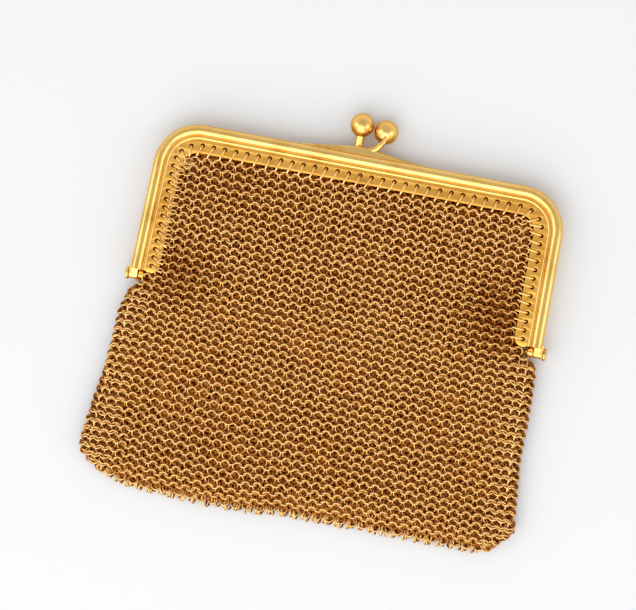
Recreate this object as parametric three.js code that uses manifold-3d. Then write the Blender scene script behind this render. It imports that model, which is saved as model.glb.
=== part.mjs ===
// A small chain-mesh coin purse with a kiss clasp, closed and lying flat on its back.
// Millimetres. X runs along the frame, Y from the hem up to the clasp, Z up through the thickness.
// While it is built, the hinge axis lies at y = 0, the middle of the frame at x = 0, and the
// parting plane of the two frame halves at z = 0. At the end the purse is set down on z = 0.

import * as THREE from 'three';
import { mergeVertices } from 'three/addons/utils/BufferGeometryUtils.js';
import Module from 'manifold-3d';

const wasm = await Module();
wasm.setup();

// Frame: two like halves, each a U of half-round tube with a pierced flange on its inner side
const frameWidth = 72;
const frameDrop = 27.55;
const cornerRadius = 7.7;
const legSplay = THREE.MathUtils.degToRad(0.9);
const legShort = 1.1;
const rimWidth = 2.0;
const rimDepth = 2.15;
const partingGap = 0.3;
const beadRadius = 0.18;
const beadRise = 0.25;
const flangeWidth = 2.9;
const flangeThickness = 0.5;
const flangeHeight = 1.2;
const lobeOverhang = 0.29;

// Holes for the links that carry the mesh
const holeRadius = 0.38;
const holeSides = 8;
const holeInset = 1.5;
const topHolePitch = 1.985;
const cornerHoles = 2;
const legHolePitch = 1.48;
const lastHoleEdge = 0.88;

// Hinges: one knuckle of each half on a headed pin that lies along X
const knuckleRadius = 0.85;
const knuckleBore = 0.5;
const knuckleOverhang = 0.25;
const outerKnuckleLength = 1.5;
const innerKnuckleLength = 0.95;
const knuckleGap = 0.15;
const pinRadius = 0.32;
const pinHeadRadius = 1.1;
const pinHeadThickness = 0.5;
const peenedRadius = 0.62;
const peenedThickness = 0.25;
const lugHeight = 1.4;
const lugOverlap = 0.5;

// Kiss clasp: two balls on a straight stem and a bent horn, on a low gable on each half
const ballRadius = 2.05;
const ballSpacing = 4.25;
const ballHeight = 5.0;
const ballStep = 0.4;
const ballLean = 0.2;
const claspOffset = 0.7;
const gableHeight = 1.35;
const gableLeft = 10.3;
const gableRight = 8.3;
const gableLedge = 2.0;
const gableFoot = 0.135;
const gableThickness = 1.4;
const stemRadius = 0.75;
const hornRadius = 0.58;

// Mesh bag: a flat pouch of chain mesh, as thick as its links
const meshThickness = 1.1;
const bagDrop = 36.0;
const pieceGap = 0.3;

const halfWidth = frameWidth / 2;
const halfGap = partingGap / 2;
const halfDepth = rimDepth + halfGap;
const flangeInset = rimWidth + flangeWidth;
const holeLine = rimWidth + holeInset;

// Solids: plain meshes go in, and one welded body with its faces outwards comes out

function solidOf(geometry) {
  const bare = geometry.index ? geometry.clone() : geometry;
  bare.deleteAttribute('normal');
  bare.deleteAttribute('uv');
  const welded = mergeVertices(bare, 1e-5);
  return new wasm.Manifold(new wasm.Mesh({
    numProp: 3,
    vertProperties: new Float32Array(welded.attributes.position.array),
    triVerts: new Uint32Array(welded.index.array),
  }));
}

function geometryOf(solid) {
  const mesh = solid.getMesh();
  const geometry = new THREE.BufferGeometry();
  geometry.setAttribute('position', new THREE.BufferAttribute(new Float32Array(mesh.vertProperties), 3));
  geometry.setIndex(new THREE.BufferAttribute(new Uint32Array(mesh.triVerts), 1));
  return geometry;
}

function join(...geometries) {
  return geometries.map(solidOf).reduce((whole, next) => whole.add(next));
}

// A closed body through a row of convex rings that all have the same number of points
function loft(rings) {
  const count = rings[0].length;
  const positions = rings.flat().flatMap((point) => [point.x, point.y, point.z]);
  const triangles = [];
  for (let row = 0; row < rings.length - 1; row++) {
    for (let k = 0; k < count; k++) {
      const a = row * count + k;
      const b = row * count + (k + 1) % count;
      triangles.push(a, b, b + count, a, b + count, a + count);
    }
  }
  const last = (rings.length - 1) * count;
  for (let k = 1; k < count - 1; k++) {
    triangles.push(0, k + 1, k, last, last + k, last + k + 1);
  }
  if (signedVolume(positions, triangles) < 0) {
    triangles.reverse();
  }
  const geometry = new THREE.BufferGeometry();
  geometry.setAttribute('position', new THREE.Float32BufferAttribute(positions, 3));
  geometry.setIndex(triangles);
  return geometry;
}

function signedVolume(positions, triangles) {
  const corner = (k) => new THREE.Vector3().fromArray(positions, 3 * triangles[k]);
  let volume = 0;
  for (let k = 0; k < triangles.length; k += 3) {
    volume += corner(k).dot(corner(k + 1).cross(corner(k + 2))) / 6;
  }
  return volume;
}

// Points in a row from 0 to 1, both ends included
function shares(steps) {
  return Array.from({ length: steps + 1 }, (unused, k) => k / steps);
}

// Frame line: how the U runs. A station is a point on the outer edge with its inward direction.

const cornerTurn = Math.PI / 2 + legSplay;
const cornerX = halfWidth - (frameDrop - cornerRadius) * Math.tan(legSplay) - cornerRadius;
const cornerY = frameDrop - cornerRadius;
const legLength = (cornerY + cornerRadius * Math.sin(legSplay) - legShort) / Math.cos(legSplay);

function cornerStation(turn, side) {
  const outward = new THREE.Vector2(side * Math.sin(turn), Math.cos(turn));
  const point = new THREE.Vector2(side * cornerX, cornerY).addScaledVector(outward, cornerRadius);
  return { point, inward: outward.negate() };
}

function legStation(run, side) {
  const start = cornerStation(cornerTurn, side);
  const down = new THREE.Vector2(side * Math.sin(legSplay), -Math.cos(legSplay));
  return { point: start.point.addScaledVector(down, run), inward: start.inward };
}

const cornerSteps = 10;

function frameStations() {
  const rightSide = shares(cornerSteps).map((share) => cornerStation(share * cornerTurn, 1));
  rightSide.push(legStation(legLength, 1));
  const leftSide = shares(cornerSteps).map((share) => cornerStation(share * cornerTurn, -1));
  leftSide.push(legStation(legLength, -1));
  return [...leftSide.reverse(), ...rightSide];
}

function insetPoint(station, inset) {
  return station.point.clone().addScaledVector(station.inward, inset);
}

// The place of a hole at a given run along the hole line, measured from the middle of the top
function holePlace(run, side) {
  const radius = cornerRadius - holeLine;
  const arc = radius * cornerTurn;
  if (run <= cornerX) {
    return new THREE.Vector2(side * run, frameDrop - holeLine);
  }
  if (run <= cornerX + arc) {
    return insetPoint(cornerStation((run - cornerX) / radius, side), holeLine);
  }
  return insetPoint(legStation(run - cornerX - arc, side), holeLine);
}

function holePlaces() {
  const places = [holePlace(0, 1)];
  const wideHoles = Math.floor(cornerX / topHolePitch) + cornerHoles;
  const wideEnd = wideHoles * topHolePitch;
  const lastRun = cornerX + (cornerRadius - holeLine) * cornerTurn + legLength - lastHoleEdge;
  const closeHoles = Math.floor((lastRun - wideEnd) / legHolePitch);
  let run = 0;
  for (let k = 1; k <= wideHoles + closeHoles; k++) {
    run += k <= wideHoles ? topHolePitch : legHolePitch;
    places.push(holePlace(run, -1), holePlace(run, 1));
  }
  return places;
}

// Sweep of a section along the frame. Section points are [inset, height] pairs.
function sweepFrame(section) {
  return loft(frameStations().map((station) => section.map(([inset, height]) => {
    const place = insetPoint(station, inset);
    return new THREE.Vector3(place.x, place.y, height);
  })));
}

function rimTube() {
  const crownRadius = rimWidth / 2;
  const section = [[0, halfGap], [rimWidth, halfGap]];
  for (const share of shares(10)) {
    const turn = share * Math.PI;
    section.push([
      crownRadius + crownRadius * Math.cos(turn),
      halfDepth - crownRadius + crownRadius * Math.sin(turn),
    ]);
  }
  return sweepFrame(section);
}

// A fine bead in the corner between the tube and the flange, half sunk in both
function seamBead() {
  const height = flangeHeight + flangeThickness / 2;
  const middle = rimWidth + beadRadius;
  const reach = 2 * beadRadius;
  const section = shares(6).map((share) => [
    middle - reach * Math.cos(share * Math.PI),
    height + beadRise * Math.sin(share * Math.PI),
  ]);
  section.push([middle + reach, flangeHeight]);
  section.push([middle - reach, flangeHeight]);
  return sweepFrame(section);
}

// The flange follows the U, ends in a round lobe about its last hole, and is pierced all along
function piercedFlange() {
  const stations = frameStations();
  const lobeRadius = flangeWidth / 2;
  const lobeInset = rimWidth + lobeRadius;
  const outline = stations.map((station) => insetPoint(station, rimWidth / 2));
  for (const side of [1, -1]) {
    const end = side > 0 ? stations[stations.length - 1] : stations[0];
    const along = new THREE.Vector2(side * Math.sin(legSplay), -Math.cos(legSplay));
    const turns = side > 0 ? shares(8) : shares(8).reverse();
    const lobe = turns.map((share) => insetPoint(end, lobeInset - lobeRadius * Math.cos(share * Math.PI))
      .addScaledVector(along, lobeRadius * (Math.sin(share * Math.PI) - 1) + lobeOverhang));
    outline.push(...lobe);
    if (side > 0) {
      const inner = stations.slice(1, -1).reverse();
      outline.push(...inner.map((station) => insetPoint(station, flangeInset)));
    }
  }
  const shape = new THREE.Shape(outline);
  shape.holes = holePlaces().map((place) => {
    const corners = shares(holeSides).slice(1).map((share) => new THREE.Vector2(
      place.x + holeRadius * Math.cos(share * 2 * Math.PI),
      place.y + holeRadius * Math.sin(share * 2 * Math.PI),
    ));
    return new THREE.Path(corners);
  });
  const flange = new THREE.ExtrudeGeometry(shape, { depth: flangeThickness, bevelEnabled: false });
  return flange.translate(0, 0, flangeHeight - flangeThickness / 2);
}

// Knuckle: a barrel round the pin with a lug that reaches up into the end of its leg. The barrel
// runs round from the top of the lug, under the pin, to just past the lug's lower side.
const barrelStart = THREE.MathUtils.degToRad(95);
const barrelEnd = THREE.MathUtils.degToRad(368);

function knuckle(innerEnd, length, side) {
  const reach = legShort + lugOverlap;
  const shape = new THREE.Shape();
  shape.moveTo(reach, halfGap);
  shape.lineTo(reach, lugHeight);
  shape.absarc(0, 0, knuckleRadius, barrelStart, barrelEnd, false);
  const bore = new THREE.Path();
  bore.absarc(0, 0, knuckleBore, 0, 2 * Math.PI, false);
  shape.holes.push(bore);
  const barrel = new THREE.ExtrudeGeometry(shape, { depth: length, bevelEnabled: false, curveSegments: 7 });
  // The shape's x becomes +Y, its y becomes +Z, and it is extruded along +X
  barrel.applyMatrix4(new THREE.Matrix4().makeBasis(
    new THREE.Vector3(0, 1, 0),
    new THREE.Vector3(0, 0, 1),
    new THREE.Vector3(1, 0, 0),
  ));
  return barrel.translate(side > 0 ? innerEnd : -innerEnd - length, 0, 0);
}

const barrelOuterEnd = halfWidth + knuckleOverhang;
const outerKnuckleStart = barrelOuterEnd - outerKnuckleLength;
const innerKnuckleStart = outerKnuckleStart - knuckleGap - innerKnuckleLength;

// Clasp: gable plate, ball, straight stem and bent horn

function gable() {
  const shape = new THREE.Shape();
  shape.moveTo(-claspOffset - gableLeft, frameDrop - rimWidth / 2);
  shape.lineTo(claspOffset + gableRight, frameDrop - rimWidth / 2);
  shape.lineTo(claspOffset + gableRight - gableLedge, frameDrop + gableFoot);
  shape.lineTo(0, frameDrop + gableHeight);
  shape.lineTo(-2 * claspOffset, frameDrop + gableHeight);
  shape.lineTo(-claspOffset - gableLeft, frameDrop + gableFoot);
  const plate = new THREE.ExtrudeGeometry(shape, { depth: gableThickness, bevelEnabled: false });
  return plate.translate(0, 0, halfGap);
}

function tube(path, radii, sides) {
  return loft(path.map((centre, k) => {
    const before = path[Math.max(k - 1, 0)];
    const after = path[Math.min(k + 1, path.length - 1)];
    const along = after.clone().sub(before).normalize();
    const across = new THREE.Vector3(0, 0, 1).cross(along).normalize();
    const up = along.clone().cross(across);
    return shares(sides).slice(1).map((share) => centre.clone()
      .addScaledVector(across, radii[k] * Math.cos(share * 2 * Math.PI))
      .addScaledVector(up, radii[k] * Math.sin(share * 2 * Math.PI)));
  }));
}

function ball(centre) {
  const sphere = new THREE.SphereGeometry(ballRadius, 16, 10);
  return sphere.translate(centre.x, centre.y, centre.z);
}

const stemBallCentre = new THREE.Vector3(
  claspOffset - ballSpacing / 2,
  frameDrop + ballHeight + ballStep / 2,
  ballLean,
);
const hornBallCentre = new THREE.Vector3(
  claspOffset + ballSpacing / 2,
  frameDrop + ballHeight - ballStep / 2,
  -ballLean,
);

function stem() {
  const footHeight = -halfGap - gableThickness / 2;
  const foot = new THREE.Vector3(stemBallCentre.x, frameDrop + gableHeight / 2, footHeight);
  return tube([foot, stemBallCentre], [stemRadius, stemRadius], 14);
}

// The horn leaves the gable's ridge, bends up, and is soldered to the front of its ball
const hornBends = [
  { across: -0.71, up: 0.135, out: 0.37, thick: 1.2 },
  { across: -0.43, up: 0.225, out: 0.42, thick: 1.0 },
  { across: -0.23, up: 0.333, out: 0.47, thick: 1.0 },
  { across: -0.11, up: 0.458, out: 0.55, thick: 0.93 },
  { across: 0.0, up: 0.615, out: 0.64, thick: 0.7 },
  { across: 0.04, up: 0.78, out: 0.67, thick: 0.54 },
];

function horn() {
  const points = hornBends.map((bend) => new THREE.Vector3(
    hornBallCentre.x + bend.across * ballSpacing,
    frameDrop + bend.up * (hornBallCentre.y - frameDrop),
    bend.out * halfDepth,
  ));
  const curve = new THREE.CatmullRomCurve3(points);
  const steps = 12;
  const thickAt = (share) => {
    const place = share * (hornBends.length - 1);
    const row = Math.min(Math.floor(place), hornBends.length - 2);
    return THREE.MathUtils.lerp(hornBends[row].thick, hornBends[row + 1].thick, place - row);
  };
  return tube(
    shares(steps).map((share) => curve.getPoint(share)),
    shares(steps).map((share) => hornRadius * thickAt(share)),
    10,
  );
}

// The two halves are alike, and the back one is turned round to face the front one. Its knuckles
// sit inside those of the front half. Each half is soldered into one piece.

function frontFrame() {
  return join(
    rimTube(),
    seamBead(),
    piercedFlange(),
    knuckle(outerKnuckleStart, outerKnuckleLength, 1),
    knuckle(outerKnuckleStart, outerKnuckleLength, -1),
    gable(),
    horn(),
    ball(hornBallCentre),
  );
}

function backFrame() {
  return join(
    ...[
      rimTube(),
      seamBead(),
      piercedFlange(),
      knuckle(innerKnuckleStart, innerKnuckleLength, 1),
      knuckle(innerKnuckleStart, innerKnuckleLength, -1),
      gable(),
    ].map((geometry) => geometry.rotateY(Math.PI)),
    stem(),
    ball(stemBallCentre),
  );
}

// Hinge pin: a flat head outside, a shaft through both knuckles and a peened end inside
function hingePin(side) {
  const headStart = barrelOuterEnd + knuckleGap;
  const peenedEnd = innerKnuckleStart - knuckleGap;
  const profile = [
    [0, peenedEnd - peenedThickness],
    [peenedRadius * 0.7, peenedEnd - peenedThickness],
    [peenedRadius, peenedEnd],
    [pinRadius, peenedEnd],
    [pinRadius, headStart],
    [pinHeadRadius, headStart],
    [pinHeadRadius, headStart + pinHeadThickness * 0.7],
    [pinHeadRadius * 0.8, headStart + pinHeadThickness],
    [0, headStart + pinHeadThickness],
  ].map(([radius, along]) => new THREE.Vector2(radius, along));
  const pin = new THREE.LatheGeometry(profile, 16);
  return solidOf(pin.rotateZ(-side * Math.PI / 2));
}

// Mesh bag. Above the hinges its two faces hang apart inside the U. Below them it is a closed
// pouch that is wider than the frame and flares to the left.

const mouthY = frameDrop - flangeInset - pieceGap;
const mouthRadius = cornerRadius - flangeInset - pieceGap;
const knuckleClear = knuckleRadius + pieceGap;

// drop: share of the bag's drop below the hinges; left, right: shares of half the frame's width;
// top, bottom: shares of half the frame's depth, above and below the parting plane
const bagRows = [
  { drop: 0.051, left: 0.986, right: 0.98, top: 0.66, bottom: 0.93 },
  { drop: 0.094, left: 1.006, right: 0.998, top: 0.62, bottom: 1.0 },
  { drop: 0.18, left: 1.03, right: 1.003, top: 0.55, bottom: 1.0 },
  { drop: 0.337, left: 1.035, right: 1.005, top: 0.5, bottom: 1.0 },
  { drop: 0.48, left: 1.044, right: 1.005, top: 0.46, bottom: 1.0 },
  { drop: 0.62, left: 1.066, right: 1.016, top: 0.42, bottom: 1.0 },
  { drop: 0.79, left: 1.088, right: 1.034, top: 0.38, bottom: 1.0 },
  { drop: 0.85, left: 1.09, right: 1.042, top: 0.34, bottom: 1.0 },
  { drop: 0.89, left: 1.07, right: 1.017, top: 0.3, bottom: 1.0 },
  { drop: 0.93, left: 1.025, right: 0.985, top: 0.18, bottom: 1.0 },
  { drop: 0.96, left: 0.98, right: 0.955, top: 0.02, bottom: 1.0 },
  { drop: 0.985, left: 0.92, right: 0.905, top: -0.12, bottom: 0.98 },
  { drop: 1.0, left: 0.85, right: 0.84, top: -0.3, bottom: 0.94 },
];

// The hem isn't straight: drop is a share of the bag's drop, added at that place across
const hemWave = [
  { across: -1.0, drop: 0.0 },
  { across: -0.65, drop: 0.022 },
  { across: -0.37, drop: 0.031 },
  { across: -0.18, drop: 0.021 },
  { across: 0.02, drop: -0.016 },
  { across: 0.3, drop: -0.018 },
  { across: 0.8, drop: -0.012 },
  { across: 1.0, drop: -0.01 },
];

// Shallow hollows in the front face, where the mesh sinks onto the back one
const softDents = [
  { across: -0.45, drop: 0.1, width: 0.3, depth: 0.09 },
  { across: 0.5, drop: 0.22, width: 0.34, depth: 0.1 },
  { across: 0.05, drop: -0.28, width: 0.4, depth: 0.12 },
  { across: -0.1, drop: 0.5, width: 0.36, depth: 0.08 },
];

function hemDrop(across) {
  const next = hemWave.findIndex((row) => row.across >= across);
  if (next <= 0) {
    return next === 0 ? hemWave[0].drop : hemWave[hemWave.length - 1].drop;
  }
  const [a, b] = [hemWave[next - 1], hemWave[next]];
  const share = (across - a.across) / (b.across - a.across);
  return THREE.MathUtils.lerp(a.drop, b.drop, THREE.MathUtils.smoothstep(share, 0, 1));
}

function dentDepth(across, drop) {
  return softDents.reduce((sum, dent) => {
    const away = Math.hypot(across - dent.across, (drop - dent.drop) * bagDrop / halfWidth) / dent.width;
    return sum + dent.depth * halfDepth * Math.exp(-away * away);
  }, 0);
}

// Stations down the bag in millimetres, from the mouth to the hem
function bagStations() {
  const faceHeight = flangeHeight + meshThickness / 2;
  const corner = shares(4).map((share) => share * Math.PI / 2).map((turn) => ({
    y: mouthY - mouthRadius * (1 - Math.cos(turn)),
    shy: mouthRadius * (1 - Math.sin(turn)),
  }));
  const sides = shares(4).slice(1).map((share) => ({ y: (mouthY - mouthRadius) * (1 - share), shy: 0 }));
  const inFrame = [...corner, ...sides].map(({ y, shy }) => ({
    y,
    left: halfWidth - y * Math.tan(legSplay) - flangeInset - pieceGap - shy,
    right: halfWidth - y * Math.tan(legSplay) - flangeInset - pieceGap - shy,
    top: THREE.MathUtils.lerp(0.7 * halfDepth, faceHeight, y / mouthY),
    bottom: THREE.MathUtils.lerp(0.9 * halfDepth, faceHeight, y / mouthY),
  }));
  const shoulder = {
    y: -knuckleClear,
    left: innerKnuckleStart - pieceGap,
    right: innerKnuckleStart - pieceGap,
    top: 0.68 * halfDepth,
    bottom: 0.91 * halfDepth,
  };
  const pouch = bagRows.map((row) => ({
    y: -row.drop * bagDrop,
    left: row.left * halfWidth,
    right: row.right * halfWidth,
    top: row.top * halfDepth,
    bottom: row.bottom * halfDepth,
  }));
  return [...inFrame, shoulder, ...pouch];
}

const outerFaceSteps = 12;
const innerFaceSteps = 6;
const edgeSteps = 5;
const hollowShare = 0.9;
const sideOpening = 4;
const mouthOpening = 1;
const edgeFullness = 1.6;
const edgeLimit = 2.4;

// One ring of the bag: a flat front and back with round edges, drawn in by an inset on every side
function bagRing(station, inset, faceSteps) {
  const middle = (station.top - station.bottom) / 2;
  const half = (station.top + station.bottom) / 2 - inset;
  const round = Math.min(edgeFullness * half, edgeLimit);
  const left = -station.left + inset + round;
  const right = station.right - inset - round;
  const points = [];
  for (const share of shares(faceSteps)) {
    points.push([THREE.MathUtils.lerp(left, right, share), half]);
  }
  for (const share of shares(edgeSteps).slice(1, -1)) {
    points.push([right + round * Math.sin(share * Math.PI), half * Math.cos(share * Math.PI)]);
  }
  for (const share of shares(faceSteps)) {
    points.push([THREE.MathUtils.lerp(right, left, share), -half]);
  }
  for (const share of shares(edgeSteps).slice(1, -1)) {
    points.push([left - round * Math.sin(share * Math.PI), -half * Math.cos(share * Math.PI)]);
  }
  return points.map(([x, height]) => {
    const across = x / halfWidth;
    const drop = -station.y / bagDrop;
    const wave = hemDrop(across) * bagDrop * THREE.MathUtils.smoothstep(drop, 0.5, 1);
    const dent = height > 0 ? dentDepth(across, drop) * height / half : 0;
    return new THREE.Vector3(x, station.y - wave, middle + height - dent);
  });
}

// The hollow opens at the mouth, and at both sides down to the hinges
function meshBag() {
  const stations = bagStations();
  const hollow = stations.filter((station) => station.y >= -hollowShare * bagDrop).map((station) => {
    const spread = station.y >= 0 ? sideOpening : 0;
    return { ...station, left: station.left + spread, right: station.right + spread };
  });
  hollow.unshift({ ...hollow[0], y: mouthY + mouthOpening });
  const outer = loft(stations.map((station) => bagRing(station, 0, outerFaceSteps)));
  const inner = loft(hollow.map((station) => bagRing(station, meshThickness, innerFaceSteps)));
  return solidOf(outer).subtract(solidOf(inner));
}

// Finishes and assembly

const polishedGilt = { color: 0xe2ac3a, roughness: 0.18, metalness: 1 };
const meshGilt = { color: 0xb97f2c, roughness: 0.35, metalness: 1 };

function piece(name, solid, finish) {
  const mesh = new THREE.Mesh(geometryOf(solid), new THREE.MeshStandardMaterial(finish));
  mesh.name = name;
  return mesh;
}

const group = new THREE.Group();
group.add(
  piece('front_frame', frontFrame(), polishedGilt),
  piece('back_frame', backFrame(), polishedGilt),
  piece('left_hinge_pin', hingePin(-1), polishedGilt),
  piece('right_hinge_pin', hingePin(1), polishedGilt),
  piece('mesh_bag', meshBag(), meshGilt),
);

// Set down on z = 0, with the middle of its outline at the origin
const extent = new THREE.Box3().setFromObject(group);
const middle = extent.getCenter(new THREE.Vector3());
group.position.set(-middle.x, -middle.y, -extent.min.z);

export default group;
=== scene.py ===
import math

import bmesh
import bpy
import numpy as np
from mathutils import Matrix, Vector
from mathutils.bvhtree import BVHTree


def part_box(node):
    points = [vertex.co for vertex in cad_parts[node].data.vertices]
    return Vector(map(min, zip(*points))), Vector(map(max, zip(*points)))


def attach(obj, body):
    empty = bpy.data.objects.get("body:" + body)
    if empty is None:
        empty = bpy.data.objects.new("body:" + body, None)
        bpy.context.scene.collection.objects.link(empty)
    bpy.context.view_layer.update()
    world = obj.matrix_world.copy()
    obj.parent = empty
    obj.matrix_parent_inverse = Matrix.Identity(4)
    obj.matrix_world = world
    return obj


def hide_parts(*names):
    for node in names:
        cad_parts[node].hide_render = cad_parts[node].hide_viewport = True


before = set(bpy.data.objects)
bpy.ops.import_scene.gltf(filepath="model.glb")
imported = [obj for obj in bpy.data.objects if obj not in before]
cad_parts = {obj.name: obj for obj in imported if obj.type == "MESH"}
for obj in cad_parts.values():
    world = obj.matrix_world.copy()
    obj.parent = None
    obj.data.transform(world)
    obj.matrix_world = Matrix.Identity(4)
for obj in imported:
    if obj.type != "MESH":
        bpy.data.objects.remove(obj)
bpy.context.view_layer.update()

# A small gilt coin purse of fine chain mesh on a kiss-clasp frame, closed and lying on its back.
# Metres, in the frame's own axes: X along the frame, Y from hem to clasp, Z up.

MM = 0.001

# Camera
# Almost straight above the purse and close to it, leaning a little to the hem and to the right,
# so that the right side stands nearer. The purse lies turned in the picture by the roll.

LENS_MM = 85
SENSOR_MM = 36
ROLL = math.radians(11.3)
LEAN_TO_HEM = math.radians(1.8)
LEAN_TO_RIGHT = math.radians(4.55)
HINGE_IN_CAMERA = Vector((2.86, -1.49, -260.74)) * MM

front_low, front_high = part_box("front_frame")
pin_low, pin_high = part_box("left_hinge_pin")
FRAME_X = (front_low[0] + front_high[0]) / 2
HINGE_Y = (pin_low[1] + pin_high[1]) / 2

to_camera = (
    Matrix.Rotation(-LEAN_TO_HEM, 3, "X")
    @ Matrix.Rotation(-LEAN_TO_RIGHT, 3, "Y")
    @ Matrix.Rotation(-ROLL, 3, "Z")
)
camera_data = bpy.data.cameras.new("camera")
camera_data.lens = LENS_MM
camera_data.sensor_width = SENSOR_MM
camera_data.sensor_fit = "HORIZONTAL"
camera_data.clip_start = 0.01
camera_data.clip_end = 20
camera = bpy.data.objects.new("camera", camera_data)
from_camera = to_camera.transposed()
camera.matrix_world = (
    Matrix.Translation(Vector((FRAME_X, HINGE_Y, 0)) - from_camera @ HINGE_IN_CAMERA)
    @ from_camera.to_4x4()
)
bpy.context.scene.collection.objects.link(camera)
bpy.context.scene.camera = camera
bpy.context.scene.view_settings.view_transform = "Standard"

# Floor
# A plain pale table, so wide that its edge never shows. Matt white board.


def linear(code):
    """Colour of an sRGB hex value such as C89A3C, as linear red, green, blue and alpha."""
    values = [int(code[k : k + 2], 16) / 255 for k in (0, 2, 4)]
    return [v / 12.92 if v <= 0.04045 else ((v + 0.055) / 1.055) ** 2.4 for v in values] + [1.0]


def new_material(name):
    material = bpy.data.materials.new(name)
    material.use_nodes = True
    tree = material.node_tree
    return material, tree, tree.nodes["Principled BSDF"]


def add_node(tree, kind, settings=None, links=None):
    """A node with its settings and inputs: an input is a value, or a socket that feeds it."""
    node = tree.nodes.new(kind)
    for name, value in (settings or {}).items():
        setattr(node, name, value)
    for name, value in (links or {}).items():
        if isinstance(value, bpy.types.NodeSocket):
            tree.links.new(value, node.inputs[name])
        else:
            node.inputs[name].default_value = value
    return node


def mesh_object(name, vertices, faces, smooth=True):
    mesh = bpy.data.meshes.new(name)
    mesh.from_pydata([tuple(v) for v in vertices], [], faces)
    mesh.polygons.foreach_set("use_smooth", [smooth] * len(mesh.polygons))
    mesh.update()
    piece = bpy.data.objects.new(name, mesh)
    bpy.context.scene.collection.objects.link(piece)
    return piece


FLOOR_HALF = 1.5
board, tree, shader = new_material("white_board")
shader.inputs["Roughness"].default_value = 0.85
shader.inputs["Specular IOR Level"].default_value = 0.2
shader.inputs["Base Color"].default_value = linear("DADBDC")
floor = mesh_object(
    "floor",
    [(x * FLOOR_HALF, y * FLOOR_HALF, 0) for x, y in ((-1, -1), (1, -1), (1, 1), (-1, 1))],
    [(0, 1, 2, 3)],
    smooth=False,
)
floor.data.materials.append(board)

# Light
# Soft studio light: a very large softbox leans over the hem's side, and two smaller ones stand to
# the left and right. Straight above it is dimmer, where the camera stands.

world = bpy.data.worlds.new("studio")
bpy.context.scene.world = world
world.use_nodes = True
tree = world.node_tree
background = tree.nodes["Background"]
direction = add_node(tree, "ShaderNodeTexCoord")
height = add_node(
    tree, "ShaderNodeSeparateXYZ", links={"Vector": direction.outputs["Generated"]}
)
sky = add_node(tree, "ShaderNodeValToRGB", links={"Fac": height.outputs["Z"]})
sky.color_ramp.elements[0].position = 0.0
sky.color_ramp.elements[0].color = (1.05, 1.05, 1.07, 1)
sky.color_ramp.elements[1].position = 0.95
sky.color_ramp.elements[1].color = (0.6, 0.6, 0.6, 1)
tree.links.new(sky.outputs["Color"], background.inputs["Color"])
background.inputs["Strength"].default_value = 1.0

# lean from the vertical and bearing from +X, in degrees; width and height in metres; brightness
# against a white wall at 1
softboxes = [
    ("hem_side_box", 44, -95, 1.2, 1.1, 2.1),
    ("left_box", 56, 188, 0.55, 0.6, 1.5),
    ("right_box", 56, -8, 0.55, 0.6, 1.5),
]
SOFTBOX_DISTANCE = 1.0
for name, lean, bearing, width, depth, brightness in softboxes:
    data = bpy.data.lights.new(name, "AREA")
    data.shape = "RECTANGLE"
    data.size = width
    data.size_y = depth
    data.energy = brightness * math.pi * width * depth
    box = bpy.data.objects.new(name, data)
    turn = Matrix.Rotation(math.radians(bearing + 90), 4, "Z") @ Matrix.Rotation(
        math.radians(lean), 4, "X"
    )
    box.matrix_world = turn @ Matrix.Translation((0, 0, SOFTBOX_DISTANCE))
    bpy.context.scene.collection.objects.link(box)

# Rims
# Each half of the frame is a U of half-round gilt brass rim, drawn and bent, with its flat side at
# the parting plane. A fine bead fills the corner between the rim and the flange.

FRAME_WIDTH = 72 * MM
FRAME_DROP = 27.55 * MM
CORNER_RADIUS = 7.7 * MM
LEG_SPLAY = math.radians(0.9)
LEG_SHORT = 1.1 * MM
LEG_STEPS = 8
TOP_STEPS = 12
RIM_WIDTH = 2.0 * MM
RIM_EDGE = 0.12 * MM
PARTING_GAP = 0.3 * MM
BEAD_RADIUS = 0.18 * MM
FLANGE_WIDTH = 2.9 * MM
FLANGE_THICKNESS = 0.5 * MM
FLANGE_HEIGHT = 1.2 * MM

back_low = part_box("back_frame")[0]
PARTING_Z = (back_low[2] + front_high[2]) / 2
HALF_DEPTH = front_high[2] - PARTING_Z

corner_turn = math.pi / 2 + LEG_SPLAY
corner_y = FRAME_DROP - CORNER_RADIUS
corner_x = FRAME_WIDTH / 2 - corner_y * math.tan(LEG_SPLAY) - CORNER_RADIUS
leg_length = (corner_y + CORNER_RADIUS * math.sin(LEG_SPLAY) - LEG_SHORT) / math.cos(LEG_SPLAY)


def corner_place(turn, side, inset):
    reach = CORNER_RADIUS - inset
    return Vector((side * (corner_x + reach * math.sin(turn)), corner_y + reach * math.cos(turn)))


def leg_place(run, side, inset):
    down = Vector((side * math.sin(LEG_SPLAY), -math.cos(LEG_SPLAY)))
    return corner_place(corner_turn, side, inset) + down * run


def frame_line(inset, corner_steps):
    """Places along the U at an inset from its outer edge, from the left leg to the right one."""
    right = [corner_place(corner_turn * k / corner_steps, 1, inset) for k in range(corner_steps + 1)]
    right += [leg_place(leg_length * k / LEG_STEPS, 1, inset) for k in range(1, LEG_STEPS + 1)]
    left = [Vector((-place.x, place.y)) for place in reversed(right)]
    start, end = left[-1], right[0]
    top = [start + (end - start) * (k / TOP_STEPS) for k in range(1, TOP_STEPS)]
    return left + top + right


def in_frame(x, y, height, half):
    """A place on the front half, or turned round the Y axis to the back half."""
    return Vector((FRAME_X + half * x, HINGE_Y + y, PARTING_Z + half * height))


def loft(name, rings, smooth=True):
    """A closed piece through rings of points that all have the same number."""
    count = len(rings[0])
    faces = [tuple(range(count))[::-1], tuple(range((len(rings) - 1) * count, len(rings) * count))]
    for row in range(len(rings) - 1):
        for k in range(count):
            a = row * count + k
            b = row * count + (k + 1) % count
            faces.append((a, b, b + count, a + count))
    piece = mesh_object(name, [point for ring in rings for point in ring], faces, smooth)
    face_outwards(piece)
    return piece


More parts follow.
